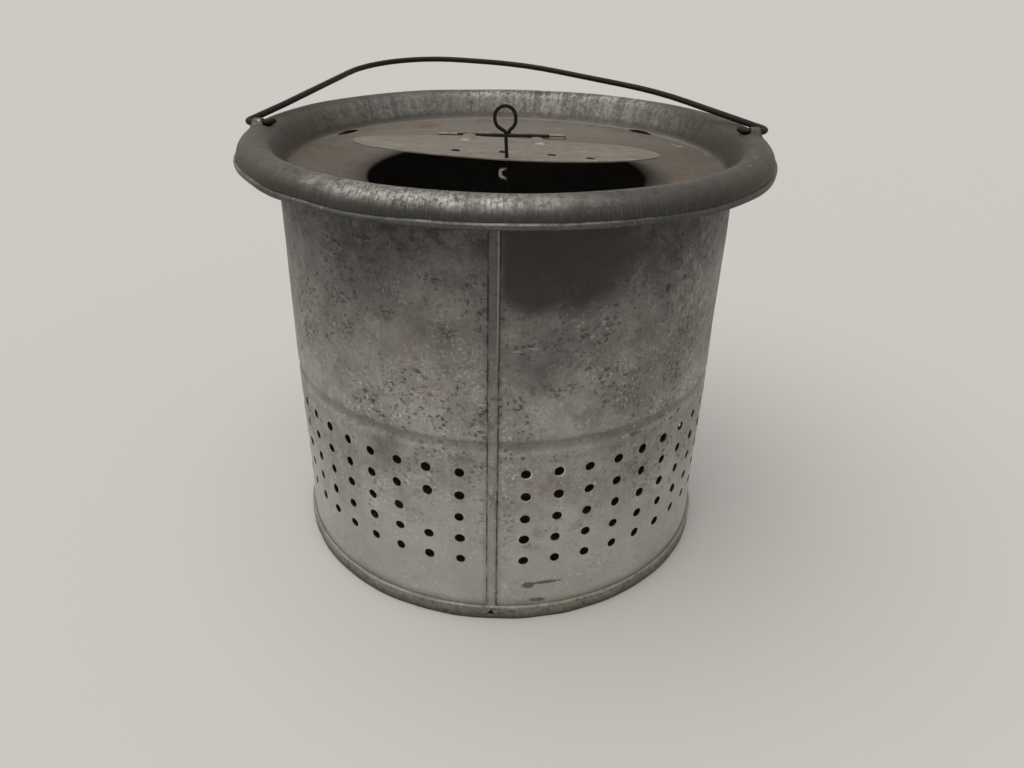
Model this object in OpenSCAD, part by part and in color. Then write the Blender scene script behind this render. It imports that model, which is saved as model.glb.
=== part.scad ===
// Perforated bait bucket with a float collar, a wired lid with a turn latch, and a wire bail.
// +Z is up and the origin is the centre of the foot ring. The front, with the side seam, is -Y.
// Azimuths are in degrees from the front, positive towards +X.

/* [Body shell] */
// Outside diameter of the body
body_d = 228.6; // [150:0.1:320]
// Height of the deck's upper face above the ground
deck_h = 204.6; // [170:0.1:300]
// Thickness of the galvanised sheet
sheet_t = 0.55; // [0.4:0.05:0.8]
// Azimuth of the lock seam
seam_az = -2.2; // [-20:0.1:20]
// Width of the lock seam
seam_w = 4.9; // [3:0.1:8]
// Height of the swaged groove above the ground
swage_h = 103; // [98:0.5:120]
// Depth of the swaged groove
swage_depth = 0.9; // [0.3:0.1:1.5]

/* [Bottom] */
// Height of the seam that hems the bottom to the body
hem_h = 8; // [5:0.5:12]
// Height of the bottom panel above the ground
panel_h = 4; // [2:0.5:6]

/* [Perforations] */
// Diameter of one hole
hole_d = 4.9; // [2:0.1:7]
// Vertical pitch of the rows
row_pitch = 12.7; // [9:0.1:14]
// Height of the lowest row above the ground
row_h = 37.2; // [25:0.1:38]
// Number of rows
row_count = 5; // [1:1:5]
// Number of columns round the body
column_count = 45; // [12:1:48]
// Angle left clear at the lock seam
seam_gap_a = 15.66; // [8:0.01:30]

/* [Collar] */
// How far the collar's side stands out past the body
collar_out = 17.8; // [15:0.1:30]
// How far the deck's corner lies inside the body
corner_in = 4.3; // [3.5:0.1:5.5]
// Height of the collar's crest above the deck
crest_rise = 16; // [14:0.1:18]
// Outside radius of the collar's domed crest
crest_r = 8.4; // [6.5:0.1:9]
// Height of the collar's underside above the deck
underside_rise = 4.6; // [4:0.1:5]
// Height of the curled rim
curl_h = 3.2; // [2.8:0.1:4]
// How far the curled rim stands out past the collar's side
curl_out = 1.4; // [1.3:0.1:2]
// Height of the flange that is soldered to the body
flange_h = 4; // [2:0.5:8]

/* [Deck] */
// Diameter of the opening
opening_d = 132.6; // [80:0.1:140]
// Width of deck left in front of the opening
front_ledge = 16.7; // [15:0.1:30]
// Depth of the opening's turned-down lip
lip_h = 1.8; // [1:0.1:2.2]
// Azimuth of the left drain slot
left_slot_az = -123; // [-150:1:-100]
// Azimuth of the right drain slot
right_slot_az = 133.5; // [100:0.5:150]
// Length of a drain slot
slot_l = 18; // [8:1:24]
// Greatest width of a drain slot
slot_w = 2.6; // [1.5:0.1:3.5]

/* [Lid] */
// How far the lid laps over the opening all round
lid_lap = 6.2; // [4:0.1:8]
// Distance of the hinge behind the opening's centre
hinge_back = 81; // [78:0.5:86]
// Tilt at which the lid stands ajar
lid_tilt = 8.1; // [4:0.1:30]
// Sideways lean of the lid, from its bent straps
lid_lean = 1.95; // [0:0.05:2]
// Diameter of a vent hole in the lid
vent_d = 2.8; // [1:0.1:4]

/* [Hinge] */
// Diameter of the hinge wire
hinge_wire_d = 1.5; // [1:0.1:2]
// Length of the rolled hinge barrel
barrel_l = 52.6; // [30:0.1:60]
// Width of a hinge strap
strap_w = 6.5; // [4:0.5:10]
// Distance between the two hinge straps
strap_gap = 38; // [20:1:44]
// Length of a hinge strap forward of the hinge
strap_l = 62; // [30:1:80]

/* [Latch] */
// Diameter of the latch wire
latch_d = 1.45; // [1.2:0.05:1.8]
// Outside width of the latch ring
ring_w = 9.8; // [9:0.1:14]
// Height of the latch ring's neck above the lid
neck_h = 10.1; // [6:0.1:16]
// Length of the latch tail below the lid
tail_l = 17; // [13:0.5:20]
// How far the latch stands inside the opening's front edge when the lid is shut
latch_in = 2.7; // [2.3:0.1:4]
// Sideways lean of the latch wire
latch_lean = 3; // [0:0.5:4]

/* [Bail] */
// Diameter of the bail wire
bail_d = 3.2; // [2.4:0.1:4]
// Angle of the bail above level where it rests, folded back
bail_rest_a = 6; // [5.5:0.1:12]
// Gap between the bail's right end bend and the collar's side
bail_gap = 0.8; // [0.5:0.1:4]
// How much nearer the pivot the bail's left end bend is than the right one
bail_left_in = 2.4; // [0:0.1:2.4]

/* [Hidden] */
$fn = 96;

body_r = body_d / 2;
layer_gap = 0.05;
layer = sheet_t + layer_gap;
fit_gap = 0.05;
past = 5;
// A bent wire: its straights run a hair into its bends, which are a hair thicker, so they join
lap = 0.04;
proud = 0.015;

opening_r = opening_d / 2;

// Collar profile, along the middle of the sheet
side_r = body_r + collar_out - sheet_t / 2;
corner_r = body_r - corner_in;
opening_y = opening_r + front_ledge - corner_r;
deck_z = deck_h - sheet_t / 2;
dome_r = crest_r - sheet_t / 2;
dome_cr = side_r - dome_r;
dome_cz = deck_h + crest_rise - crest_r;
dome_dist = norm([dome_cr - corner_r, dome_cz - deck_z]);
wall_a = atan2(dome_cz - deck_z, dome_cr - corner_r) + asin(dome_r / dome_dist);
peak_z = deck_z + (side_r - corner_r) * tan(wall_a);
underside_z = deck_h + underside_rise;
curl_r = side_r + sheet_t / 2 + curl_out - sheet_t / 2;
// The body's rim meets the slanting wall from below
shell_top = deck_z + (body_r - sheet_t - corner_r) * tan(wall_a) - sheet_t / 2 / cos(wall_a);

// Hinge and lid
hinge_y = opening_y + hinge_back;
hinge_r = hinge_wire_d / 2;
barrel_bore_r = hinge_r + fit_gap;
barrel_r = barrel_bore_r + sheet_t;
hinge_z = deck_h + barrel_r + 0.3;
barrel_x = -2.1;
wire_left = barrel_x - barrel_l / 2 - 10.6;
wire_right = barrel_x + barrel_l / 2 + 9;
lid_r = opening_r + lid_lap;
lid_z = -0.95;

// Latch
latch_r = latch_d / 2;
latch_forward = hinge_back + opening_r - latch_in;
ring_r = ring_w / 2 - latch_r;
ring_z = ring_r + 1.5;
bow_r = ring_r - 0.02;
kink_z = -neck_h - 3.8;

// Bail
bail_r = bail_d / 2;
ear_t = 0.5;
ear_bore_r = bail_r + fit_gap;
ear_r = ear_bore_r + ear_t;
ear_z = deck_h + crest_rise + 0.3;
ear_in_r = side_r - 9.2;
ear_out_r = side_r - 4.3;
ear_slot_r = bail_r + 1.5;
bail_half = side_r + sheet_t / 2 + bail_gap + bail_r;
bail_k = bail_half / 134.5;
bail_bend_r = bail_r + 2;
bail_left_bend_r = bail_r + 1.3;

// ---- bent sheet and bent wire ----
// A bent line is a list of [u, v, bend radius], and the radius at its two ends is not used.

function heading(p, i) = atan2(p[i + 1][1] - p[i][1], p[i + 1][0] - p[i][0]);
function wrapped(a) = a > 180 ? a - 360 : a < -180 ? a + 360 : a;
function turn(p, i) = wrapped(heading(p, i) - heading(p, i - 1));
function is_bend(p, i) = i > 0 && i < len(p) - 1;
function setback(p, i) = is_bend(p, i) ? p[i][2] * tan(abs(turn(p, i)) / 2) : 0;
function span(p, i) = norm([p[i + 1][0] - p[i][0], p[i + 1][1] - p[i][1]]);
function along(a) = [cos(a), sin(a)];
function spot(p, i) = [p[i][0], p[i][1]];
function straight_start(p, i) = spot(p, i) + setback(p, i) * along(heading(p, i));
function straight_length(p, i) = span(p, i) - setback(p, i) - setback(p, i + 1);
function bend_centre(p, i) = spot(p, i) - setback(p, i) * along(heading(p, i - 1))
    + p[i][2] * along(heading(p, i - 1) + 90 * sign(turn(p, i)));
function bend_start(p, i) = turn(p, i) > 0 ? heading(p, i - 1) - 90 : heading(p, i) + 90;

// The part of a flat ring between two angles less than 180 degrees apart
module ring_sector(r, t, a0, a) {
    reach = 4 * r;
    intersection() {
        difference() {
            circle(r + t / 2);
            circle(r - t / 2);
        }
        polygon([[0, 0], reach * along(a0), reach * along(a0 + a / 2), reach * along(a0 + a)]);
    }
}

// The section of a bent sheet, drawn along the middle of its thickness. A tongue inside the sheet
// crosses each joint of straight and bend, so that rounding never parts them.
module bent_sheet(p) {
    tongue = sheet_t / 2;
    for (i = [0 : len(p) - 2]) {
        from = is_bend(p, i) ? tongue / 2 : 0;
        to = is_bend(p, i + 1) ? tongue / 2 : 0;
        translate(straight_start(p, i))
            rotate(heading(p, i)) {
                translate([0, -sheet_t / 2])
                    square([straight_length(p, i), sheet_t]);
                translate([-from, -tongue / 2])
                    square([straight_length(p, i) + from + to, tongue]);
            }
    }
    for (i = [1 : len(p) - 2])
        if (abs(turn(p, i)) > 0.01)
            translate(bend_centre(p, i))
                ring_sector(p[i][2], sheet_t, bend_start(p, i), abs(turn(p, i)));
}

// A wire bent in the XY plane
module bent_wire(p, d) {
    for (i = [0 : len(p) - 2])
        translate(straight_start(p, i) - lap * along(heading(p, i)))
            rotate([0, 90, heading(p, i)])
                cylinder(h = straight_length(p, i) + 2 * lap, d = d);
    for (i = [1 : len(p) - 2])
        translate(bend_centre(p, i))
            rotate(bend_start(p, i))
                rotate_extrude(angle = abs(turn(p, i)))
                    translate([p[i][2], 0])
                        circle(d = d + 2 * proud);
}

// ---- body ----

// The wall's section: the folded hook of the bottom seam, the wall and the swaged groove
module shell_section() {
    wall_r = body_r - sheet_t / 2;
    hook_r = wall_r + 2 * layer;
    flange_z = sheet_t * 1.5;
    translate([body_r - sheet_t, sheet_t])
        square([hook_r + sheet_t / 2 - body_r + sheet_t, sheet_t]);
    translate([hook_r - sheet_t / 2, flange_z])
        square([sheet_t, hem_h - sheet_t - layer_gap - flange_z]);
    bent_sheet([
        [wall_r, flange_z, 0],
        [wall_r, swage_h - 5, 6],
        [wall_r - swage_depth, swage_h, 3],
        [wall_r, swage_h + 2.8, 3],
        [wall_r, shell_top, 0]
    ]);
}

// Folded layers of the lock seam, proud of the wall
module lock_seam() {
    seam_a = seam_w / body_r * 180 / PI;
    rotate(seam_az - seam_a / 2 - 90)
        rotate_extrude(angle = seam_a)
            translate([body_r - sheet_t / 2, hem_h + 0.3])
                square([sheet_t / 2 + 1.1, underside_z - flange_h - hem_h - 0.6]);
}

function column_az(i) = seam_az + seam_gap_a / 2 + i * (360 - seam_gap_a) / (column_count - 1);

// One hole was never punched: the second column left of the seam, in the third row down
function is_punched(i, j) = !(i == column_count - 2 && j == row_count - 3);

module perforations() {
    for (i = [0 : column_count - 1])
        for (j = [0 : row_count - 1])
            if (is_punched(i, j))
                rotate(column_az(i))
                    translate([0, -body_r - past, row_h + j * row_pitch])
                        rotate([-90, 0, 0])
                            cylinder(h = 2 * past, d = hole_d);
}

module shell() {
    color("darkgray")
        difference() {
            union() {
                rotate_extrude()
                    shell_section();
                lock_seam();
            }
            perforations();
        }
}

// Bottom panel, hemmed round the body's hook
module bottom() {
    inner_r = body_r - sheet_t * 1.5 - layer_gap;
    tuck_r = body_r - sheet_t / 2 + layer;
    outer_r = body_r - sheet_t / 2 + 3 * layer;
    color("gray")
        rotate_extrude() {
            translate([0, panel_h])
                square([inner_r + sheet_t / 2, sheet_t]);
            translate([inner_r - sheet_t / 2, 0])
                square([sheet_t, panel_h + sheet_t]);
            translate([inner_r - sheet_t / 2, 0])
                square([outer_r - inner_r + sheet_t, sheet_t]);
            translate([outer_r - sheet_t / 2, 0])
                square([sheet_t, hem_h]);
            translate([tuck_r - sheet_t / 2, hem_h - sheet_t])
                square([outer_r - tuck_r + sheet_t, sheet_t]);
            translate([tuck_r - sheet_t / 2, 2 * sheet_t + layer_gap])
                square([sheet_t, hem_h - 2 * sheet_t - layer_gap]);
        }
}

// ---- collar ----

// Lens-shaped drain slot, cut square to the bend between the deck and the wall
module drain_slot(az) {
    lens_r = (slot_l * slot_l / 4 + slot_w * slot_w / 4) / slot_w;
    rotate(az)
        translate([0, -corner_r, deck_z])
            rotate([-45, 0, 0])
                translate([0, 0, -3])
                    linear_extrude(6)
                        intersection() {
                            translate([0, lens_r - slot_w / 2])
                                circle(lens_r);
                            translate([0, slot_w / 2 - lens_r])
                                circle(lens_r);
                        }
}

// A cylinder along the bail's pivot, from one radius out to another on both sides
module on_pivot(r, from, to) {
    for (side = [0, 180])
        rotate(side)
            translate([from, 0, ear_z])
                rotate([0, 90, 0])
                    cylinder(h = to - from, r = r);
}

// One pressing: the deck, the slanting wall, the domed crest and the ears for the bail
module deck_pan() {
    lip_bend = 1.2;
    color("silver")
        difference() {
            union() {
                difference() {
                    rotate_extrude()
                        bent_sheet([
                            [0, deck_z, 0],
                            [corner_r, deck_z, 2],
                            [side_r, peak_z, dome_r],
                            [side_r, underside_z + sheet_t, 0]
                        ]);
                    translate([0, opening_y, deck_h - past])
                        cylinder(h = 2 * past, r = opening_r + sheet_t / 2 + lip_bend);
                }
                translate([0, opening_y, 0])
                    rotate_extrude()
                        bent_sheet([
                            [opening_r + sheet_t / 2 + lip_bend + 1, deck_z, 0],
                            [opening_r + sheet_t / 2, deck_z, lip_bend - 0.01],
                            [opening_r + sheet_t / 2, deck_h - lip_h, 0]
                        ]);
                on_pivot(ear_r, ear_in_r, ear_out_r);
            }
            on_pivot(ear_bore_r, ear_in_r - past, side_r + past);
            on_pivot(ear_slot_r, ear_in_r - 8, ear_in_r);
            drain_slot(left_slot_az);
            drain_slot(right_slot_az);
            for (x = [wire_left, wire_right])
                translate([x, hinge_y, deck_h - past])
                    cylinder(h = 2 * past, r = barrel_bore_r);
        }
}

// Ring that closes the collar from below, soldered to the body and curled round the collar's foot
module collar_underside() {
    color("gray")
        rotate_extrude()
            bent_sheet([
                [body_r + sheet_t / 2, underside_z - flange_h, 0],
                [body_r + sheet_t / 2, underside_z + sheet_t / 2, 1],
                [curl_r, underside_z + sheet_t / 2, 1],
                [curl_r, underside_z + curl_h - 1.1, 0.6],
                [curl_r - 0.6, underside_z + curl_h, 0]
            ]);
}

// ---- hinge and lid ----

// Staple of wire through the barrel, its legs clinched under the deck
module hinge_wire() {
    leg = hinge_z - deck_h + sheet_t + hinge_r + 0.1;
    color("dimgray")
        translate([0, hinge_y, hinge_z])
            rotate([90, 0, 0])
                bent_wire([
                    [wire_left + 6, -leg, 0],
                    [wire_left, -leg, hinge_r + 0.1],
                    [wire_left, 0, hinge_r + 0.3],
                    [wire_right, 0, hinge_r + 0.3],
                    [wire_right, -leg, hinge_r + 0.1],
                    [wire_right - 6, -leg, 0]
                ], hinge_wire_d);
}

// The frame that turns with the lid about the hinge: -Y runs forward along the lid
module at_hinge() {
    translate([0, hinge_y, hinge_z])
        rotate([-lid_tilt, 0, 0])
            children();
}

// The latch's own frame: its axis is +Z, and z = 0 is the ring's neck
module at_latch() {
    translate([0, -latch_forward, lid_z + sheet_t / 2])
        rotate([0, -latch_lean, 0])
            translate([0, 0, neck_h])
                children();
}

// Barrel rolled round the hinge wire, with two straps that are spot-welded to the lid
module hinge_leaf() {
    weld_r = 2.2;
    strap_z = lid_z + sheet_t / 2;
    color("darkgray")
        at_hinge()
            difference() {
                union() {
                    translate([barrel_x - barrel_l / 2, 0, 0])
                        rotate([0, 90, 0])
                            cylinder(h = barrel_l, r = barrel_r);
                    rotate([0, lid_lean, 0])
                        for (side = [-1, 1])
                            translate([barrel_x + side * strap_gap / 2, 0, 0]) {
                                translate([-strap_w / 2, -strap_l, strap_z])
                                    cube([strap_w, strap_l - barrel_bore_r, sheet_t]);
                                translate([0, -strap_l + strap_w / 2, strap_z])
                                    cylinder(h = sheet_t + 0.4, r = weld_r);
                            }
                }
                translate([barrel_x - barrel_l / 2 - past, 0, 0])
                    rotate([0, 90, 0])
                        cylinder(h = barrel_l + 2 * past, r = barrel_bore_r);
            }
}

// Flat round lid with four vent holes and the hole for the latch wire
module lid() {
    // Across and forward of the lid's centre
    vents = [[-22, 42], [-1.5, 36], [19.5, 39], [35.5, 50]];
    color("silver")
        at_hinge()
            difference() {
                rotate([0, lid_lean, 0])
                    translate([0, -hinge_back, lid_z - sheet_t / 2])
                        difference() {
                            cylinder(h = sheet_t, r = lid_r);
                            for (v = vents)
                                translate([v[0], -v[1], -past])
                                    cylinder(h = 2 * past, d = vent_d);
                        }
                at_latch()
                    translate([0, 0, -neck_h - past])
                        cylinder(h = 2 * past, r = latch_r + fit_gap);
            }
}

// One wire: a teardrop ring to turn it by, a shaft through the lid, a kink that catches and a tail
module latch_wire() {
    color("dimgray")
        at_hinge()
            at_latch()
                rotate([90, 0, 0])
                    bent_wire([
                        [0.9, -neck_h - tail_l, 0],
                        [-0.7, kink_z - 4.6, 0.8],
                        [-2.8, kink_z - 3.4, 0.8],
                        [-2.8, kink_z - 0.9, 0.8],
                        [0, kink_z, 0.8],
                        [0, 0, 1.5],
                        [-ring_r, ring_z - 3, bow_r],
                        [-ring_r, ring_z + ring_r, bow_r],
                        [ring_r, ring_z + ring_r, bow_r],
                        [ring_r, ring_z - 3, bow_r],
                        [latch_d * 0.72, 0.35, 0]
                    ], latch_d);
}

// ---- bail ----

// The bail in its own plane: u across the bucket, v away from the pivot
function bail_path() = [
    [-ear_in_r + 4.6, 5, 0],
    [-ear_in_r + 2.4, 0, bail_bend_r],
    [-bail_half + bail_left_in, 0, bail_left_bend_r],
    [-120 * bail_k, 33 * bail_k, 120 * bail_k],
    [-81 * bail_k, 151 * bail_k, 57 * bail_k],
    [8 * bail_k, 133 * bail_k, 117 * bail_k],
    [87 * bail_k, 73 * bail_k, 133 * bail_k],
    [bail_half, 0, bail_bend_r],
    [ear_in_r - 2.4, 0, bail_bend_r],
    [ear_in_r - 4.6, 5, 0]
];

module bail() {
    color("dimgray")
        translate([0, 0, ear_z])
            rotate([bail_rest_a, 0, 0])
                bent_wire(bail_path(), bail_d);
}

shell();
bottom();
deck_pan();
collar_underside();
hinge_wire();
hinge_leaf();
lid();
latch_wire();
bail();
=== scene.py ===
"""The looks of the perforated bait bucket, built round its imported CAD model.

Sizes are written in millimetres, in the frame of the CAD model, and become metres when a mesh is made.
Azimuths are in degrees from the front (-Y), positive towards +X.
"""

import functools
import math

import bmesh
import bpy
import numpy as np
from mathutils import Matrix, Vector


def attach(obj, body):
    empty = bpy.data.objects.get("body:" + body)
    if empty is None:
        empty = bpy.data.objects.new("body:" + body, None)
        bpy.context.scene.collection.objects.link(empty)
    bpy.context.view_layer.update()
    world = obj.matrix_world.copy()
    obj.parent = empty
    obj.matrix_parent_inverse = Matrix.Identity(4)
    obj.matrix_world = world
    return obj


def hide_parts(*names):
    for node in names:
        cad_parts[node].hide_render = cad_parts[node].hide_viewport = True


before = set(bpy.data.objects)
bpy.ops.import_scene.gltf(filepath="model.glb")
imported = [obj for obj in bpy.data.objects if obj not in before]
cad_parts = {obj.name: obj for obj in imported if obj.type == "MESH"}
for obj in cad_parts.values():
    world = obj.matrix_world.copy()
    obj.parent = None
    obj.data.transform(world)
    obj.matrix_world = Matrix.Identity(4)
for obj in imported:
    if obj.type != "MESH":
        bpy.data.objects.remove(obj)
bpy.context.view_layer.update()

# ---- sizes of the real object ----

SHEET = 0.55
BODY_R = 114.3
MM_PER_DEGREE = math.pi * BODY_R / 180
DECK_Z = 204.6
HEM_TOP = 8.0

SEAM_AZ = -2.2
SEAM_W = 4.9
SWAGE_Z = 103.0
SWAGE_DEPTH = 0.9

CELLS = 46
ROWS = 5
ROW_PITCH = 12.7
ROW_Z = 37.2
HOLE_R = 2.45
RIM_SHEET = 0.22
BLANK = (44, 2)

# Clusters of dark crumbs on the wall: azimuth, height and half sizes
CRUMBS = ((-26.5, 127, (6, 7)), (-9, 132, (5, 4)), (-19, 137, (4, 2.4)), (-26.5, 162, (6, 4)),
          (-15.5, 182, (8, 4)), (-7.5, 181, (5, 5)), (13, 131, (8, 5)), (32, 176, (4, 3)), (15.5, 143, (6, 3)),
          (-33, 118, (9, 4)), (-4.6, 120, (3, 9)), (26, 122, (9, 6)), (-38, 150, (5, 6)), (-12, 158, (5, 4)),
          (44, 126, (8, 7)), (41.5, 184, (9, 10)), (-40, 188, (12, 8)), (48, 150, (8, 12)), (-56, 135, (9, 8)),
          (150, 150, (12, 9)), (-140, 120, (14, 10)), (100, 165, (9, 8)), (178, 95, (10, 6)))
# Faint blushes of rust: azimuth, height and half sizes
BLUSHES = ((34, 150, (7, 7)), (-21, 148, (7, 9)), (-15, 128, (9, 9)), (10, 80, (11, 11)), (22, 64, (9, 9)),
           (152, 120, (12, 12)), (-108, 80, (13, 13)), (-70, 150, (9, 9)), (96, 60, (11, 11)))
# Dark scuffs near the foot and smudges between the holes
SCUFFS = ((7, 20.8, (4.4, 8, 2.6)), (11.3, 21.7, (10.5, 8, 1.35)), (9.5, 10.6, (5.4, 8, 1.7)),
          (131, 19, (8, 9, 1.7)), (-96, 24, (6, 8, 1.5)))
SMUDGES = ((9, 53.5, (7, 7, 5)), (7, 45, (7, 7, 4)), (19, 55, (4, 7, 5)))

CORNER_R = 110.0
SIDE_R = 131.825
DOME_R = 8.125
PEAK_Z = 243.43
UNDERSIDE_Z = 209.2
CURL_R = 133.225
CURL_TOP = 212.4

OPENING_R = 66.3
OPENING_Y = -27.0
LIP_Z = 202.8

PIVOT_Z = 220.9
EAR = (122.6, 127.5)
EAR_R = 2.02
# The torn slot beside an ear: its middle's x and y, and its half sizes
TORN = (121.2, -1.2)
TORN_HALF = (1.9, 2.7)
DRAIN = (9.0, 2.6)
DRAIN_AZ = (-123, 133.5)

HINGE = (0.0, 54.0, 206.25)
TILT = -8.1
LEAN = 1.95
HINGE_BACK = 81.0
LID_R = 72.5
LID_Z = -0.95
BARREL_X = -2.1
BARREL_L = 52.6
BARREL_R = 1.35
STRAP_GAP = 38.0
STRAP_W = 6.5
STRAP_L = 62.0
VENTS = ((-22.0, 42.0), (-1.5, 36.0), (19.5, 39.0), (35.5, 50.0))
LATCH_FORWARD = 144.6
LATCH_LEAN = -3.0
NECK = 10.1
TAIL = 17.0

# ---- small tools ----


def shift(x, y, z):
    """The matrix of a move in millimetres."""
    return Matrix.Translation((x / 1000, y / 1000, z / 1000))


def turned(angle, axis):
    return Matrix.Rotation(math.radians(angle), 4, axis)


AT_HINGE = shift(*HINGE) @ turned(TILT, "X")
LEANING = AT_HINGE @ turned(LEAN, "Y")
AT_LATCH = AT_HINGE @ shift(0, -LATCH_FORWARD, LID_Z + SHEET / 2) @ turned(LATCH_LEAN, "Y") @ shift(0, 0, NECK)
UPRIGHT = turned(90, "X")

def direction(angle):
    return np.array([math.cos(math.radians(angle)), math.sin(math.radians(angle))])


def smooth(x, low, high):
    """0 below low and 1 above high, with a smooth rise between."""
    t = np.clip((np.asarray(x, float) - low) / (high - low), 0, 1)
    return t * t * (3 - 2 * t)


def field(points, size, seed, waves=28):
    """A smooth random field of unit spread, whose bumps are about `size` across."""
    rng = np.random.default_rng(seed)
    k = rng.normal(size=(waves, 3))
    k *= (rng.uniform(0.6, 1.4, waves) * math.pi / size / np.linalg.norm(k, axis=1))[:, None]
    return np.sin(points @ k.T + rng.uniform(0, 2 * math.pi, waves)).sum(axis=1) * math.sqrt(2 / waves)


def turn_between(a, b):
    return (b - a + 180) % 360 - 180


def bent_line(points, step=9.0, spacing=None):
    """Samples a line of [u, v, bend radius] with rounded bends. Returns the places and the headings there."""
    spots = [np.array(p[:2], float) for p in points]
    headings = [math.degrees(math.atan2(*(b - a)[::-1])) for a, b in zip(spots, spots[1:])]
    places, ways = [spots[0]], [headings[0]]
    for i in range(1, len(spots) - 1):
        turn = turn_between(headings[i - 1], headings[i])
        radius = points[i][2]
        back = radius * math.tan(math.radians(abs(turn)) / 2)
        side = math.copysign(90, turn)
        centre = spots[i] - back * direction(headings[i - 1]) + radius * direction(headings[i - 1] + side)
        count = max(2, math.ceil(abs(turn) / step))
        for k in range(count + 1):
            way = headings[i - 1] + turn * k / count
            places.append(centre + radius * direction(way - side))
            ways.append(way)
    places.append(spots[-1])
    ways.append(headings[-1])
    if spacing is None:
        return np.array(places), np.array(ways)
    full, full_ways = [places[0]], [ways[0]]
    for i in range(1, len(places)):
        gap = np.linalg.norm(places[i] - places[i - 1])
        count = max(1, math.ceil(gap / spacing))
        way_turn = turn_between(ways[i - 1], ways[i])
        for k in range(1, count + 1):
            full.append(places[i - 1] + (places[i] - places[i - 1]) * k / count)
            full_ways.append(ways[i - 1] + way_turn * k / count)
    return np.array(full), np.array(full_ways)


def placed(thing):
    bpy.context.scene.collection.objects.link(thing)
    return thing


def mesh_object(name, points, faces):
    """A new object from points in millimetres."""
    mesh = bpy.data.meshes.new(name)
    mesh.from_pydata((np.asarray(points) / 1000).tolist(), [], [list(map(int, f)) for f in faces])
    return placed(bpy.data.objects.new(name, mesh))


def new_piece(name, points, faces, material, body, slot, stands_for=(), matrix=None):
    """A shaded mesh piece from points in millimetres, riding on a body."""
    piece = mesh_object(name, points, faces)
    piece.data.validate()
    if matrix is not None:
        piece.data.transform(matrix)
    piece.data.materials.append(material)
    shade(piece)
    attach(piece, body)
    if stands_for:
        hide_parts(*stands_for)
    return piece


def shade(piece, angle=38):
    """Smooth shading, with sharp edges above the angle."""
    piece.data.shade_smooth()
    piece.data.set_sharp_from_angle(angle=math.radians(angle))


def modified(piece, kind, **settings):
    """Gives a piece the mesh that a modifier with these settings makes of it."""
    modifier = piece.modifiers.new(kind, kind)
    for key, value in settings.items():
        setattr(modifier, key, value)
    bpy.context.view_layer.update()
    done = bpy.data.meshes.new_from_object(piece.evaluated_get(bpy.context.evaluated_depsgraph_get()))
    piece.modifiers.clear()
    piece.data = done
    shade(piece)


def thicken(piece, thickness=SHEET):
    modified(piece, "SOLIDIFY", thickness=thickness / 1000, offset=0.0, use_even_offset=True)


def cut(piece, points, faces):
    """Cuts a closed mesh, given in millimetres, out of a piece."""
    cutter = mesh_object("cutter", points, faces)
    modified(piece, "BOOLEAN", object=cutter, operation="DIFFERENCE", solver="EXACT")
    bpy.data.objects.remove(cutter)


def prism(outline, low, high):
    """A closed prism over an outline of [x, y] points."""
    return [(x, y, z) for z in (low, high) for x, y in outline], tube_faces(2, len(outline))


def joined(a, b):
    """Quads between two closed rings of points."""
    return list(zip(a, a[1:] + a[:1], b[1:] + b[:1], b))


def ring_faces(rows, columns, closed=True):
    """Quads over a grid of rows by columns, whose columns go round."""
    last = columns if closed else columns - 1
    return [(r * columns + c, r * columns + (c + 1) % columns,
             (r + 1) * columns + (c + 1) % columns, (r + 1) * columns + c)
            for r in range(rows - 1) for c in range(last)]


def tube_faces(rows, columns):
    """The faces of a closed tube, with its two ends."""
    ends = [list(range(columns))[::-1], list(range((rows - 1) * columns, rows * columns))]
    return ring_faces(rows, columns) + ends


def azimuths(step, fine=(), fine_step=0.25, reach=3.0):
    """Azimuths round the circle, closer together near those in `fine`."""
    marks, az = [], -180.0
    while az < 180 - fine_step / 2:
        marks.append(az)
        near = min([abs(turn_between(az, f)) for f in fine] or [360])
        az += fine_step if near < reach else min(step, max(fine_step, (near - reach) * 0.6 + fine_step))
    return np.array(marks)


def around(az, r, z):
    """Places at azimuths, radii and heights."""
    a = np.radians(az)
    return np.stack(np.broadcast_arrays(r * np.sin(a), -r * np.cos(a), z), axis=-1)


def revolved(profile, az):
    """Points of a section [[r, z], ...] turned round Z, as one row round for each of its points."""
    profile = np.asarray(profile, float)
    return around(az, profile[:, :1], profile[:, 1:])


def azimuth_of(p):
    return np.degrees(np.arctan2(p[..., 0], -p[..., 1]))


def radius_of(p):
    return np.hypot(p[..., 0], p[..., 1])


def swept(places, ways, radius, sides, seed, rough):
    """A round wire along places in a plane, a little rough, with rounded ends. Returns points and faces."""
    rng = np.random.default_rng(seed)
    first, last = places[0], places[-1]
    cap = [(0.08, 0.38), (0.3, 0.72), (0.65, 0.94)]
    rings = [(first + direction(ways[0]) * radius * c, ways[0], radius * s) for c, s in cap]
    rings += [(spot, way, radius) for spot, way in zip(places, ways)
              if min(np.linalg.norm(spot - first), np.linalg.norm(spot - last)) > radius]
    rings += [(last - direction(ways[-1]) * radius * c, ways[-1], radius * s) for c, s in reversed(cap)]
    points = []
    for spot, way, r in rings:
        for k in range(sides):
            a = 2 * math.pi * k / sides
            rr = r * (1 + rough * rng.normal())
            points.append((*(spot + rr * math.cos(a) * direction(way + 90)), rr * math.sin(a)))
    return np.array(points), tube_faces(len(rings), sides)


# ---- materials ----


def feed(node, inputs):
    """Links a node's inputs to sockets, or sets them."""
    for key, source in dict(inputs).items():
        socket = node.inputs[key]
        if isinstance(source, bpy.types.NodeSocket):
            node.id_data.links.new(source, socket)
        else:
            socket.default_value = (*source, 1) if socket.type == "RGBA" else source
    return node


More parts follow.
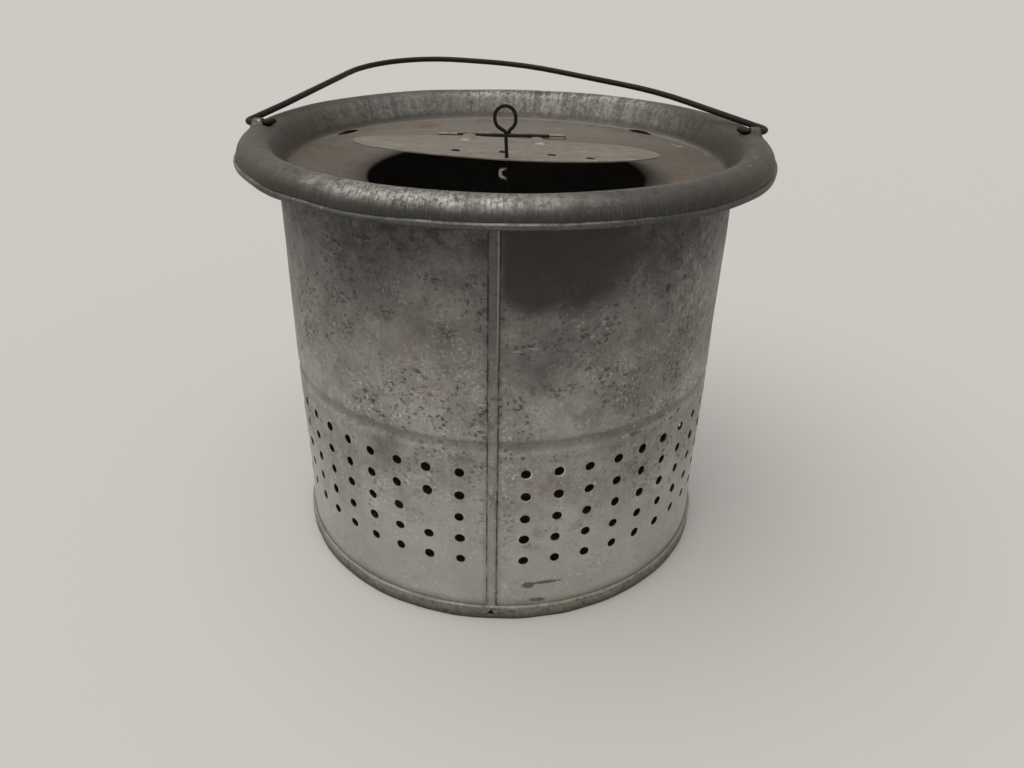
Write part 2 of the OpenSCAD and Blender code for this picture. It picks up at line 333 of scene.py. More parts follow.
def add_node(tree, kind, inputs=(), **settings):
    """A new node with these settings, and with its inputs linked or set."""
    made = tree.nodes.new("ShaderNode" + kind)
    for key, value in settings.items():
        setattr(made, key, value)
    return feed(made, inputs)


class Shader:
    """Builds one procedural material, in the object's own coordinates, in metres. Tints lie on its colour."""

    def __init__(self, name):
        self.material = bpy.data.materials.new(name)
        self.material.use_nodes = True
        self.tree = self.material.node_tree
        self.place = self.node("TexCoord").outputs["Object"]
        self.x, self.y, self.z = self.node("SeparateXYZ", {0: self.place}).outputs

    def node(self, kind, inputs=(), **settings):
        return add_node(self.tree, kind, inputs, **settings)

    def math(self, operation, *values):
        return self.node("Math", enumerate(values), operation=operation).outputs[0]

    def add(self, *values):
        return functools.reduce(lambda a, b: self.math("ADD", a, b), values)

    def times(self, *values):
        return functools.reduce(lambda a, b: self.math("MULTIPLY", a, b), values)

    def most(self, a, b):
        return self.math("MAXIMUM", a, b)

    def absolute(self, value):
        return self.math("ABSOLUTE", value)

    def radius(self):
        """The distance from the bucket's axis."""
        return self.math("SQRT", self.add(self.times(self.x, self.x), self.times(self.y, self.y)))

    def level(self):
        """The height on the wall, made wavy by noise."""
        return self.add(self.z, self.times(self.add(self.noise(38, 4, 0.65, move=4.2), -0.5), 0.05))

    def beside_seam(self):
        """The distance along the wall from the middle of the side seam, positive to the right."""
        along = self.times(self.math("ARCTAN2", self.x, self.times(self.y, -1)), BODY_R / 1000)
        return self.add(along, -math.radians(SEAM_AZ) * BODY_R / 1000)

    def stretched(self, x=1, y=1, z=1, move=0):
        """Coordinates scaled along each axis, and moved so that two noises differ."""
        return self.node("Mapping", {"Vector": self.place, "Scale": (x, y, z),
                                     "Location": (move, move * 0.7, move * 1.3)}).outputs[0]

    def noise(self, size_mm, detail=2, roughness=0.5, distortion=0, vector=None, move=0):
        """Noise from 0 to 1 whose features are about size_mm across."""
        source = vector or (self.stretched(move=move) if move else self.place)
        return self.node("TexNoise", {"Vector": source, "Scale": 1000 / size_mm, "Detail": detail,
                                      "Roughness": roughness, "Distortion": distortion}).outputs["Fac"]

    def blots(self, low, high, *noise, **more):
        """Patches where a noise is above low, and whole above high."""
        return self.band(self.noise(*noise, **more), low, high)

    def voronoi(self, size_mm, vector):
        """The distance to each cell's middle, and random numbers from 0 to 1 for each cell."""
        made = self.node("TexVoronoi", {"Vector": vector, "Scale": 1000 / size_mm})
        return made.outputs["Distance"], self.node("SeparateColor", {0: made.outputs["Color"]}).outputs

    def dots(self, cell_mm, radius, chance, vector=None, ragged=0.35, seed=0):
        """Ragged dots, one at most in a cell: their radius and chance are shares of 1."""
        source = vector or self.stretched(move=seed)
        wobble = self.node("TexNoise", {"Vector": source, "Scale": 1000 / (cell_mm * 0.35), "Detail": 2})
        small = self.node("VectorMath", {0: wobble.outputs["Color"], "Scale": ragged * cell_mm / 1000},
                          operation="SCALE")
        shaken = self.node("VectorMath", {0: source, 1: small.outputs[0]}, operation="ADD")
        distance, random = self.voronoi(cell_mm, shaken.outputs[0])
        size = self.math("MULTIPLY_ADD", random[1], radius, radius * 0.4)
        inside = self.band(self.math("SUBTRACT", distance, size), 0.04, -0.06)
        return self.times(inside, self.math("GREATER_THAN", random[0], 1 - chance))

    def band(self, value, low, high):
        """0 below low and 1 above high, smoothly. low may be above high, for a fall."""
        return self.node("MapRange", {"Value": value, "From Min": min(low, high), "From Max": max(low, high),
                                      "To Min": float(low > high), "To Max": float(low <= high)},
                         interpolation_type="SMOOTHSTEP").outputs["Result"]

    def spot(self, centre_mm, radii_mm, ragged=0, grain_mm=6, edge=0.6):
        """1 inside an ellipsoid and 0 outside, with an edge that noise makes ragged."""
        local = self.node("Mapping", {"Vector": self.place, "Location": [c / 1000 for c in centre_mm],
                                      "Scale": [r / 1000 for r in radii_mm]}, vector_type="TEXTURE")
        distance = self.node("VectorMath", {0: local.outputs[0]}, operation="LENGTH").outputs["Value"]
        if ragged:
            distance = self.add(distance, self.times(self.add(self.noise(grain_mm, 3), -0.5), ragged))
        return self.band(distance, 1, 1 - edge)

    def mix(self, factor, a, b):
        return self.node("Mix", {0: factor, 6: a, 7: b}, data_type="RGBA", clamp_result=True).outputs[2]

    def tint(self, color, *masks):
        """Lays a colour over the material's own, by the product of the masks."""
        self.color = self.mix(self.times(*masks), self.color, color)

    def blend(self, factor, a, b):
        """A number that goes from a to b with factor."""
        return self.node("Mix", {0: factor, 2: a, 3: b}, data_type="FLOAT").outputs[0]

    def bump(self, height, depth_mm, under=None):
        inputs = {"Strength": 1, "Distance": depth_mm / 1000, "Height": height}
        return self.node("Bump", inputs | ({"Normal": under} if under else {})).outputs["Normal"]

    def done(self, roughness, metallic, normal, **more):
        feed(self.tree.nodes["Principled BSDF"], {"Base Color": self.color, "Roughness": roughness,
                                                  "Metallic": metallic, "Normal": normal} | more)
        return self.material


def on_wall(az, z, r=BODY_R):
    """The place in millimetres at an azimuth and height on the body."""
    return around(az, r, z)


def moved(matrix, *point):
    """A point in millimetres, moved by a matrix."""
    return 1000 * (matrix @ (Vector(point) / 1000))


def zinc_layers(s, light, dark, speck_amount=0.5, seed=0.0):
    """Old galvanising: cloudy patches, faint spangle, grain, and dark and light specks.
    Returns the roughness, the speck mask and a height for bump."""
    cloud = s.noise(42, 4, 0.62, move=0.3 + seed)
    patch = s.noise(12, 4, 0.65, 0.5, move=3.1 + seed)
    grain = s.noise(1.4, 3, 0.65)
    spangle = s.voronoi(6, s.place)[1][0]
    streak = s.noise(2, 2, 0.5, vector=s.stretched(1, 1, 0.1, 1.7))
    tone = s.add(s.times(s.band(cloud, 0.32, 0.68), 0.4), s.times(s.band(patch, 0.3, 0.72), 0.28),
                 s.times(grain, 0.55), s.times(spangle, 0.1), s.times(streak, 0.26), -0.38)
    s.color = s.mix(tone, dark, light)
    where = s.blots(0.4, 0.6, 26, 4, 0.65, 0.4, move=7.9 + seed)
    sparse = s.add(0.25, s.times(where, 0.75))
    dashes = s.dots(5.2, 0.27, 0.7, s.stretched(1, 1, 1.7, 2.9 + seed), 0.9)
    crumbs = s.dots(2.8, 0.3, 0.6, None, 1, 4.7 + seed)
    blots = s.blots(0.58, 0.66, 4.2, 3.5, 0.72, 0.8, move=2.3 + seed)
    specks = s.most(s.times(dashes, sparse, 0.85), s.times(crumbs, where, 0.85))
    specks = s.most(specks, s.times(blots, where, 0.55))
    fine = s.times(s.blots(0.58, 0.66, 2.2, 4, 0.75, 0.5, move=5.3 + seed), s.add(0.15, s.times(where, 0.7)))
    dark_specks = s.times(s.most(specks, fine), speck_amount)
    s.tint((0.03, 0.029, 0.027), dark_specks)
    bright = s.most(s.dots(2.6, 0.26, 0.34, None, 0.9, 9.4 + seed), s.blots(0.56, 0.68, 1.7, 3, 0.6, move=6.6))
    s.tint([min(1, 1.55 * c) for c in light], bright, s.blots(0.4, 0.62, 20, 3, 0.6, move=1.9 + seed), 0.5)
    roughness = s.add(0.4, s.times(patch, 0.14), s.times(grain, 0.14), s.times(dark_specks, 0.2),
                      s.times(spangle, -0.06))
    height = s.add(s.times(grain, 0.5), s.times(patch, 0.5), s.times(dark_specks, -0.9), s.times(streak, 0.2))
    return roughness, dark_specks, height


def seam_lines(s, half):
    """Soft painted shade beside both edges of the lock seam, and a thin line of grime in each edge."""
    across = s.beside_seam()
    front = s.band(s.y, 0, -0.02)
    wander = s.times(s.add(s.noise(5, 2), -0.5), 0.0006)
    for side in (-1, 1):
        away = s.absolute(s.add(across, wander, -side * half))
        soft = s.times(s.band(away, 0.0032, 0.0004), front, s.times(s.noise(7, 3, 0.7), 0.45))
        s.tint((0.085, 0.08, 0.072), soft)
        line = s.times(s.band(away, 0.00055, 0.00015), front)
        s.tint((0.025, 0.023, 0.02), line, s.blots(0.34, 0.6, 9, 3, 0.7, move=side), 0.85)


def body_material():
    s = Shader("body zinc")
    roughness, specks, height = zinc_layers(s, (0.515, 0.497, 0.466), (0.16, 0.153, 0.141), 0.92)
    level = s.level()
    # Painted light and shade: the lower band is painted lighter, as lit from the floor, the right side a little
    # darker at mid height, and the upper wall ever darker towards the collar, as painted shade under its
    # overhang
    s.tint((0.6, 0.588, 0.562), s.band(level, 0.098, 0.03), 0.55)
    s.tint((0.085, 0.082, 0.075), s.band(s.x, 0, 0.05), s.band(level, 0.05, 0.12), 0.2)
    s.tint((0.06, 0.057, 0.051), s.band(level, 0.1, 0.19), 0.56)
    blots = s.blots(0.34, 0.62, 8, 4, 0.7, 0.6, move=8.8)
    s.tint((0.028, 0.027, 0.024), s.band(level, 0.16, 0.207), s.add(0.45, s.times(blots, 0.5)))
    # Light frosty grain, most of it over the swage
    s.tint((0.58, 0.57, 0.54), s.blots(0.5, 0.66, 1.5, 3.5, 0.7, vector=s.stretched(1, 1, 0.8, 9)),
           s.blots(0.4, 0.58, 17, 3, 0.6, move=2.7),
           s.add(0.08, s.times(s.band(level, 0.16, 0.13), s.band(level, 0.085, 0.112), 0.3)))
    # A smooth patch right of the seam, painted dark as a dark reflection, with light scratches under it and a
    # fainter dark patch lower down
    patch = s.most(s.spot(on_wall(6.5, 191), (24, 40, 27), 0.3, 12, 0.3),
                   s.spot(on_wall(17, 191), (27, 40, 31), 0.45, 14, 0.5))
    patch = s.times(patch, s.band(s.x, -0.0028, 0.0005))
    s.tint((0.038, 0.035, 0.031), patch, 0.88)
    s.tint((0.085, 0.083, 0.077), s.spot(on_wall(7, 142), (24, 30, 24), 0.5, 9, 0.9), 0.4)
    for az, z in ((3, 150.5), (6.5, 151.5)):
        s.tint((0.4, 0.39, 0.36), s.spot(on_wall(az, z), (3.2, 5, 0.5), 0.6, 2), 0.6)
    # Clusters of dark crumbs
    crumbs = s.most(s.blots(0.52, 0.6, 3, 3.5, 0.75, 0.7, vector=s.stretched(1, 1, 1.6, 6)),
                    s.dots(3.4, 0.32, 0.75, s.stretched(1, 1, 1.7, 8), 1))
    painted = s.node("Attribute", attribute_name="stains").outputs["Color"]
    cluster, blush, _ = s.node("SeparateColor", {0: painted}).outputs
    s.tint((0.026, 0.024, 0.022), cluster, crumbs, 0.8)
    # Granular patches at the right, where the coating is worn
    rough_side = s.spot(on_wall(52, 160), (38, 50, 46), 0.7, 14, 0.9)
    grit = s.blots(0.46, 0.62, 2.2, 3.5, 0.75, 0.4, vector=s.stretched(1, 1, 0.55, 3))
    s.tint((0.42, 0.41, 0.38), rough_side, grit, 0.5)
    pits = s.blots(0.54, 0.64, 3.4, 3.5, 0.75, 0.6, vector=s.stretched(1, 1, 0.5, 7))
    s.tint((0.032, 0.029, 0.025), rough_side, pits, 0.55)
    for az, z, size in ((39, 171, (1.5, 5, 2.6)), (44.5, 173.5, (1, 5, 2))):
        s.tint((0.022, 0.02, 0.018), s.spot(on_wall(az, z), size, 0.9, 2.4, 0.5), 0.75)
    s.tint((0.22, 0.135, 0.105), blush, s.blots(0.35, 0.65, 5, 3, 0.6, move=7.7), 0.34)
    for az, z, size in SCUFFS:
        s.tint((0.072, 0.075, 0.08), s.spot(on_wall(az, z), size, 0.7, 2.4, 0.5), 0.8)
    for az, z, size in SMUDGES:
        smudge = s.spot(on_wall(az, z), size, 1, 4, 0.95)
        s.tint((0.085, 0.086, 0.088), smudge, s.add(0.2, s.times(crumbs, 0.45)))
    s.tint((0.055, 0.052, 0.046), s.spot(on_wall(1.6, 62), (5.5, 6, 44), 0.8, 8, 0.8), crumbs, 0.4)
    # Painted highlights on the lower rims of some holes
    for cell, row in ((1, 4), (1, 3), (2, 4), (2, 3)):
        hole = on_wall(SEAM_AZ + cell * 360 / CELLS + 0.3, ROW_Z + row * ROW_PITCH - 0.55)
        s.tint((0.78, 0.76, 0.71), s.spot(hole, (2.75, 4, 2.75), 0.25, 1.5, 0.14), 0.42)
    foot = s.band(s.add(s.z, s.times(s.noise(14, 3, 0.6), 0.006)), 0.0165, 0.0105)
    s.tint((0.235, 0.215, 0.16), foot, 0.45)
    # Painted shade in the swage's steep upper side, which faces down, and a fainter dark line below it
    s.tint((0.115, 0.112, 0.104), s.band(s.z, 0.099, 0.102), s.band(s.z, 0.1075, 0.1042), 0.44)
    s.tint((0.15, 0.147, 0.138), s.band(s.z, 0.0925, 0.0945), s.band(s.z, 0.0985, 0.0962), 0.18)
    seam_lines(s, SEAM_W / 2000)
    return s.done(s.add(roughness, s.times(patch, -0.04)), s.blend(specks, 0.72, 0.25), s.bump(height, 0.06))


def inside_material():
    """The inside of the wall, dull with dried slime, and with tide marks."""
    s = Shader("inside zinc")
    roughness, specks, height = zinc_layers(s, (0.36, 0.35, 0.32), (0.14, 0.132, 0.115), 0.5, 3)
    s.tint((0.19, 0.172, 0.142), s.add(0.35, s.times(s.noise(30, 4, 0.65, 0.5, move=1.5), 0.6)))
    tide = s.blots(0.54, 0.64, 5, vector=s.stretched(0.06, 0.06, 1, 2))
    s.tint((0.15, 0.135, 0.105), tide, s.noise(60, move=4.4), 0.5)
    s.tint((0.12, 0.065, 0.038), s.blots(0.56, 0.68, 16, 4, 0.7, move=5.8), s.band(s.z, 0.09, 0.02), 0.5)
    return s.done(s.add(roughness, 0.12), s.blend(specks, 0.5, 0.15), s.bump(height, 0.08))


def edge_material():
    """The punched edges of the holes, black with old slime."""
    s = Shader("hole edge grime")
    grain = s.noise(1.6, 3, 0.6)
    s.color = s.mix(grain, (0.012, 0.011, 0.01), (0.04, 0.036, 0.03))
    return s.done(0.7, 0, s.bump(grain, 0.05))


def seam_material():
    s = Shader("seam zinc")
    roughness, specks, height = zinc_layers(s, (0.43, 0.425, 0.4), (0.19, 0.186, 0.172), 0.55)
    level = s.level()
    # Painted light and shade, as on the body: darker towards the collar and lighter low down
    s.tint((0.052, 0.05, 0.045), s.band(level, 0.1, 0.19), 0.72)
    s.tint((0.52, 0.525, 0.51), s.band(level, 0.098, 0.03), 0.5)
    s.tint((0.085, 0.066, 0.048), s.blots(0.54, 0.64, 9, 3, 0.7, vector=s.stretched(1, 1, 0.4, 5)), 0.5)
    seam_lines(s, SEAM_W / 2000 - 0.0001)
    # A painted highlight along the right edge, high up
    s.tint((0.42, 0.4, 0.36), s.band(s.absolute(s.add(s.beside_seam(), -0.0018)), 0.0005, 0.0002),
           s.band(s.z, 0.13, 0.155), s.blots(0.3, 0.48, 16, 3, 0.6, move=4), 0.42)
    return s.done(roughness, s.blend(specks, 0.7, 0.25), s.bump(height, 0.09))


def collar_material():
    s = Shader("collar zinc")
    roughness, specks, height = zinc_layers(s, (0.182, 0.177, 0.163), (0.07, 0.067, 0.06), 0.55, 2)
    # Fine strokes across the crest, as the spinning tool and years of handling leave
    around = s.times(s.math("ARCTAN2", s.x, s.y), 0.125)
    ring = s.node("CombineXYZ", {0: around, 1: s.times(s.z, 0.06)}).outputs[0]
    strokes = s.noise(0.8, 4, 0.75, vector=ring)
    wide = s.noise(5, 3, 0.7, vector=ring)
    radius = s.radius()
    ahead, aside = s.band(s.y, 0, -0.03), s.absolute(s.x)
    s.tint((0.06, 0.059, 0.055), s.band(strokes, 0.5, 0.75), 0.18)
    # Worn, brighter zinc on the crest, with painted highlights where the lamp's gleam falls, at the front left
    # and the rear right
    crest = s.times(s.band(s.z, 0.212, 0.2185), s.band(radius, 0.1145, 0.12))
    marks = s.add(s.times(strokes, 0.36), s.times(s.noise(2.6, 4, 0.75, 0.4, move=5), 0.64))
    cloudy = s.add(s.times(wide, 0.5), s.times(s.noise(26, 4, 0.65, move=6.1), 0.5))
    wear_and_highlight = s.times(crest, s.band(s.absolute(s.y), 0.06, 0.105), s.band(cloudy, 0.36, 0.58),
                   s.band(marks, 0.4, 0.58))
    front = s.times(ahead, s.band(s.x, 0.034, -0.012), s.band(s.x, -0.095, -0.05))
    rear_highlight = s.times(s.band(s.y, 0, 0.04), s.band(s.x, -0.05, -0.01), s.band(s.x, 0.105, 0.07), 1.35)
    s.tint((0.5, 0.49, 0.46), wear_and_highlight, s.add(0.18, s.times(s.add(front, rear_highlight), 0.85)), 0.64)
    # The front right of the collar is painted darker, as painted shade
    s.tint((0.066, 0.063, 0.056), ahead, s.band(s.x, 0.018, 0.062), 0.55)
    spots = s.blots(0.5, 0.66, 6, 4.5, 0.75, 0.7, move=8.6)
    s.tint((0.056, 0.05, 0.038), spots, s.band(s.z, 0.206, 0.209), 0.55)
    s.tint((0.084, 0.075, 0.052), crest, s.band(aside, 0.07, 0.112), 0.5)
    # The collar's outer side is painted dark, as a painted dark reflection, with light strokes on it
    side = s.times(s.band(s.z, 0.219, 0.2135), s.band(radius, 0.126, 0.13))
    s.tint((0.045, 0.043, 0.038), side, 0.82)
    s.tint((0.19, 0.188, 0.178), side, s.band(strokes, 0.5, 0.7), 0.45)
    # The slanting wall is darker low down, where damp dust gathers
    wall = s.times(s.band(s.z, 0.2155, 0.2075), s.band(radius, 0.1105, 0.112), s.band(radius, 0.1195, 0.117))
    s.tint((0.05, 0.048, 0.04), wall, s.add(0.35, s.times(s.noise(14, 4, 0.7, move=2.2), 0.5)))
    s.tint((0.046, 0.04, 0.028), s.band(aside, 0.07, 0.108), s.band(s.z, 0.219, 0.212),
           s.band(s.z, 0.205, 0.2062), s.add(0.25, s.times(s.noise(9, 4, 0.7, 0.5, move=4.8), 0.6)))
    # Painted light in streaks on the rear of the slanting wall
    sheen_streaks = s.band(s.add(s.times(wide, 0.3), s.times(marks, 0.7)), 0.38, 0.62)
    s.tint((0.42, 0.41, 0.385), s.band(s.y, 0.02, 0.08), s.band(s.z, 0.2062, 0.211),
           s.band(radius, 0.1205, 0.1165), sheen_streaks, 0.48)
    # Brown dust on the deck
    deck = s.times(s.band(s.z, 0.2085, 0.2052), s.band(radius, 0.1135, 0.1095))
    dust = s.add(0.45, s.times(s.noise(26, 4, 0.6, 0.3, move=1.1), 0.55), s.times(s.noise(3, 3, 0.6), 0.14))
    s.tint((0.122, 0.103, 0.08), deck, dust)
    s.tint((0.235, 0.215, 0.185), deck, s.band(s.y, 0.015, 0.085), 0.55)
    speckle = s.most(s.dots(5, 0.2, 0.3, None, 0.9, 8.2), s.blots(0.62, 0.7, 2.4, 3, 0.7, move=6.9))
    s.tint((0.21, 0.19, 0.155), deck, speckle, 0.45)
    s.tint((0.06, 0.049, 0.036), deck, s.blots(0.56, 0.68, 7, 4, 0.7, 0.7, move=9.9), 0.4)
    rusty = s.blots(0.47, 0.66, 15, 4, 0.65, move=3.7)
    s.tint((0.105, 0.06, 0.038), deck, s.band(radius, 0.088, 0.108), rusty, 0.4)
    for az, r, size, rust in ((64, 97, 15, (0.26, 0.135, 0.062)), (-66, 104, 9, (0.095, 0.045, 0.032)),
                              (104, 98, 8, (0.14, 0.08, 0.044)), (-150, 98, 12, (0.13, 0.075, 0.044))):
        s.tint(rust, s.spot(on_wall(az, DECK_Z, r), (size, size, 5), 0.9, 7, 0.9), 0.62)
    # A painted highlight along the bend where the deck turns up, at the rear
    s.tint((0.4, 0.39, 0.36), s.band(s.z, 0.2046, 0.205), s.band(s.z, 0.2064, 0.2054), s.band(s.y, 0, 0.06),
           s.band(radius, 0.109, 0.11), s.blots(0.2, 0.5, 4, 3, 0.7, vector=ring), 0.3)
    # Light nicks
    for az, r, z, size in ((112, 104, DECK_Z, 2.6), (114.5, 103, DECK_Z, 1.6), (160, 90, DECK_Z, 1.4),
                           (64, 124, 220.5, 1.2), (57, 126, 220, 1.1), (71, 121, 219.8, 0.9)):
        s.tint((0.46, 0.43, 0.36), s.spot(on_wall(az, z, r), (size, size * 0.6, 1.5), 0.8, 1.5, 0.5), 0.75)
    # Painted glints on the left ear's top, and a light spot beside its torn slot
    for place, size in (((-126.4, 0.6, 222.9), 0.8), ((-124.6, -1.6, 222.2), 0.85), ((-117.6, -3, 214.6), 1)):
        s.tint((0.72, 0.69, 0.6), s.spot(place, (size, size, size), 1.2, 1), 0.8)
    # The sides of the collar are a little green with age
    s.tint((0.108, 0.1, 0.074), s.band(aside, 0.08, 0.118), s.band(s.z, 0.206, 0.21), 0.3)
    rough = s.add(roughness, s.times(wear_and_highlight, -0.12), s.times(deck, 0.24), s.times(side, 0.06), 0.04)
    metallic = s.blend(s.most(specks, s.times(deck, 0.75)), 0.78, 0.15)
    return s.done(rough, metallic, s.bump(height, 0.05, s.bump(strokes, 0.03)))


def rim_material():
    s = Shader("rim zinc")
    roughness, specks, height = zinc_layers(s, (0.15, 0.148, 0.137), (0.052, 0.05, 0.045), 0.5, 4)
    # A painted highlight along the top of the curl, and painted shade low on the curl and under the rim
    top = s.times(s.band(s.z, 0.211, 0.2118), s.blots(0.36, 0.62, 5, 3, 0.7, move=3))
    s.tint((0.34, 0.335, 0.31), top, 0.5)
    s.tint((0.035, 0.033, 0.029), s.band(s.z, 0.2099, 0.209), 0.7)
    # The front right is painted darker, as painted shade
    s.tint((0.07, 0.066, 0.058), s.band(s.x, 0.02, 0.07), s.band(s.y, 0, -0.03), 0.4)
    s.tint((0.14, 0.09, 0.06), s.blots(0.55, 0.68, 13, 4, 0.7, move=2.9), 0.35)
    return s.done(s.add(roughness, s.times(top, -0.06)), s.blend(specks, 0.76, 0.25), s.bump(height, 0.06))


def hem_material():
    s = Shader("hem zinc")
    roughness, specks, height = zinc_layers(s, (0.34, 0.335, 0.31), (0.15, 0.146, 0.13), 0.55, 6)
    radius = s.radius()
    outside = s.band(radius, 0.1145, 0.1155)
    right = s.add(0.3, s.times(s.band(s.x, -0.03, 0.05), 0.45))
    s.tint((0.245, 0.215, 0.145), outside, right, s.blots(0.34, 0.62, 9, 4, 0.7))
    pits = s.most(s.dots(3.4, 0.3, 0.6, None, 0.9, 1.3), s.blots(0.55, 0.64, 2.6, 3.5, 0.75, 0.5, move=2.6))
    s.tint((0.06, 0.055, 0.045), outside, pits, 0.62)
    s.tint((0.46, 0.43, 0.35), outside, s.dots(3, 0.28, 0.4, None, 0.9, 5.9), 0.5)
    s.tint((0.06, 0.055, 0.046), outside, s.band(s.z, 0.0056, 0.0018), 0.62)
    # The notch, the lip over it and the foot that touches the ground
    # The notch is painted black, as painted shade inside it
    s.tint((0.006, 0.005, 0.005), s.spot(on_wall(SEAM_AZ, 4.4, 114.4), (3, 1.25, 3), 0, 1, 0.3))
    s.tint((0.5, 0.48, 0.42), s.band(s.z, 0.0066, 0.0076), s.blots(0.25, 0.55, 6, 3, 0.7, move=4.9), 0.3)
    s.tint((0.035, 0.032, 0.028), outside, s.band(s.z, 0.0022, 0.0005), 0.75)
    # Slime and rust inside, on the bottom
    inside = s.times(s.band(radius, 0.1138, 0.1125), s.band(s.z, 0.0042, 0.0045))
    s.tint((0.06, 0.05, 0.038), inside, s.add(0.4, s.times(s.noise(22, 4, 0.65, 0.4), 0.5)))
    s.tint((0.11, 0.06, 0.034), inside, s.blots(0.52, 0.66, 17, 4, 0.7, move=6.4), 0.6)
    return s.done(s.add(roughness, 0.08), s.blend(specks, 0.6, 0.2), s.bump(height, 0.1))


def lid_material():
    s = Shader("lid zinc")
    roughness, specks, height = zinc_layers(s, (0.29, 0.285, 0.265), (0.135, 0.13, 0.118), 0.3, 8)
    dust = s.add(0.5, s.times(s.noise(24, 4, 0.6, 0.4, move=1.9), 0.55), s.times(s.noise(2.4, 3, 0.6), 0.16))
    s.tint((0.185, 0.158, 0.128), dust, 0.86)
    smear = s.times(s.blots(0.5, 0.66, 7, 4.5, 0.78, 0.8, move=4.4), 0.6)
    s.tint((0.34, 0.305, 0.25), smear)
    s.tint((0.085, 0.068, 0.05), s.blots(0.5, 0.66, 9, 4.5, 0.75, 0.8, move=7.4), 0.55)
    s.tint((0.4, 0.38, 0.33), s.blots(0.66, 0.72, 1.5, 2, 0.6, vector=s.stretched(0.12, 1, 1, 3.3)), 0.35)
    # The vents are painted black round about, as painted shade seen through them, and the straps' spot welds
    # are bright
    for across, forward in VENTS:
        place = moved(LEANING, across, -HINGE_BACK - forward, LID_Z)
        s.tint((0.006, 0.005, 0.005), s.spot(place, (2.5, 2.5, 3), 0.15, 1.4, 0.25), 0.95)
    for side in (-1, 1):
        place = moved(LEANING, BARREL_X + side * STRAP_GAP / 2, -STRAP_L + 3.2, 0)
        s.tint((0.5, 0.48, 0.42), s.spot(place, (4.6, 6, 5), 1.5, 2, 0.8), 0.7)
    # Painted shade in the corner under the hinge's barrel, on the lid
    s.tint((0.012, 0.011, 0.009), s.band(s.absolute(s.add(s.y, -0.05205)), 0.0013, 0.0006),
           s.band(s.z, 0.2092, 0.2084), s.band(s.absolute(s.add(s.x, 0.0021)), 0.0268, 0.0258), 0.92)
    rough = s.add(roughness, 0.14, s.times(smear, -0.1))
    return s.done(rough, s.blend(specks, 0.42, 0.15), s.bump(height, 0.06))


def wire_material(name, tone, rust, rust_amount, painted_glints=()):
    s = Shader(name)
    patch = s.noise(6, 4, 0.65)
    grain = s.noise(0.8, 3, 0.6)
    s.color = s.mix(s.add(s.times(patch, 0.7), s.times(grain, 0.4), -0.1), tone, [1.9 * c for c in tone])
    rusty = s.times(s.blots(0.44, 0.62, 9, 4, 0.7, move=2.2), rust_amount)
    s.tint(rust, rusty)
    metal = 0.65
    # Painted glints: near-white and not metallic
    for centre, radii in painted_glints:
        glint = s.spot(centre, radii, 0.7, 2.5, 0.6)
        s.tint((0.9, 0.88, 0.82), glint, 0.95)
        metal = s.blend(glint, metal, 0)
    roughness = s.add(0.42, s.times(patch, 0.16), s.times(rusty, 0.3))
    normal = s.bump(s.add(s.times(grain, 0.5), patch), 0.07)
    return s.done(roughness, metal, normal, **{"Specular IOR Level": 0.2})


# ---- body ----


def wall_radius(az, z):
    """The outside radius of the wall, with its swaged groove and the shallow dents of years of use."""
    p = around(az, BODY_R, z)
    groove = -SWAGE_DEPTH * smooth(z, SWAGE_Z - 5.2, SWAGE_Z + 0.2) * (1 - smooth(z, SWAGE_Z, SWAGE_Z + 3.0))
    free = smooth(z, HEM_TOP, 40) * (1 - smooth(z, 175, 203))
    dents = free * (0.30 * field(p, 60, 11) + 0.10 * field(p, 22, 12)) + 0.03 * field(p, 9, 13)
    return BODY_R + groove + dents


